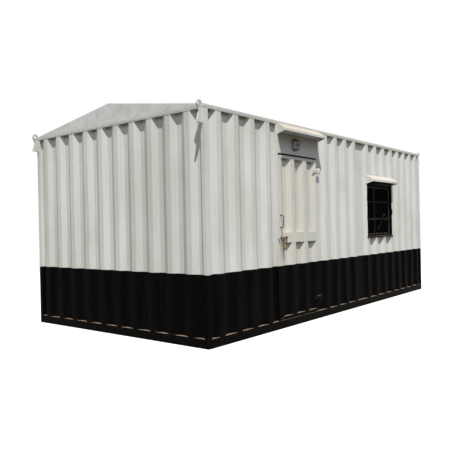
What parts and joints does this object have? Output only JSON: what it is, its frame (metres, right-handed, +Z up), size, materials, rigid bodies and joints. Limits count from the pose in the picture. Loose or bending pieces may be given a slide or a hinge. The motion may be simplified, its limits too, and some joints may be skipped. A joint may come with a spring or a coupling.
{
  "type": "portable site cabin",
  "caption": "Free-standing portable site cabin of ribbed steel sheet with a hinged door, a barred window, rain hoods, a low gable roof and lifting eyes.",
  "frame": {"origin": "on the ground under the middle of the cabin, at the middle of the underside of the middle floor joist", "axes": "+Z up, +Y along the cabin away from the front gable end, +X across the cabin towards the side with the door"},
  "size_m": [3.16, 6.28, 2.76],
  "materials": {
    "cabin_paint": "satin",
    "black_rail_paint": "gloss",
    "roof_paint": "satin",
    "lamp_housing": "satin",
    "sash_paint": "satin",
    "window_glass": "clear",
    "bare_steel": "weathered",
    "handle_paint": "satin",
    "floor_board": "matt",
    "lining_board": "matt"
  },
  "bodies": {
    "cabin": {"base_rail_front": "black_rail_paint", "base_rail_back": "black_rail_paint", "base_rail_far_side": "black_rail_paint", "base_rail_door_side": "black_rail_paint", "corner_posts": "cabin_paint", "top_rail_front": "cabin_paint", "top_rail_back": "cabin_paint", "top_rail_far_side": "cabin_paint", "top_rail_door_side": "cabin_paint", "front_cladding": "cabin_paint", "back_cladding": "cabin_paint", "far_side_cladding": "cabin_paint", "door_side_front_bay": "cabin_paint", "door_side_middle_bay": "cabin_paint", "below_window_bay": "cabin_paint", "above_window_bay": "cabin_paint", "door_side_rear_bay": "cabin_paint", "door_jambs": "cabin_paint", "transom_panel": "cabin_paint", "door_hood": "cabin_paint", "window_hood": "cabin_paint", "door_lamp": "lamp_housing", "window_frame": "cabin_paint", "window_sash": "sash_paint", "window_glass": "window_glass", "window_grille": "sash_paint", "floor_joists": "black_rail_paint", "floor_deck": "floor_board", "ceiling_board": "lining_board", "end_and_far_lining": "lining_board", "door_side_lining": "lining_board", "roof_far_slope": "roof_paint", "roof_door_slope": "roof_paint", "gable_front": "roof_paint", "gable_back": "roof_paint", "ridge_beam": "black_rail_paint", "front_lifting_lugs": "cabin_paint", "back_lifting_lugs": "cabin_paint", "jamb_fittings": "bare_steel"},
    "door": {"door_leaf_frame": "cabin_paint", "door_upper_panel": "cabin_paint", "door_lower_panel": "cabin_paint", "door_hinge_straps": "bare_steel", "door_latch": "bare_steel", "door_pull": "handle_paint"}
  },
  "joints": [
    {"name": "door_hinge", "type": "hinge", "parent": "cabin", "child": "door", "pos_m": [1.534, -0.786, 0], "axis": [0, 0, 1], "range_deg": [0, 120]}
  ]
}
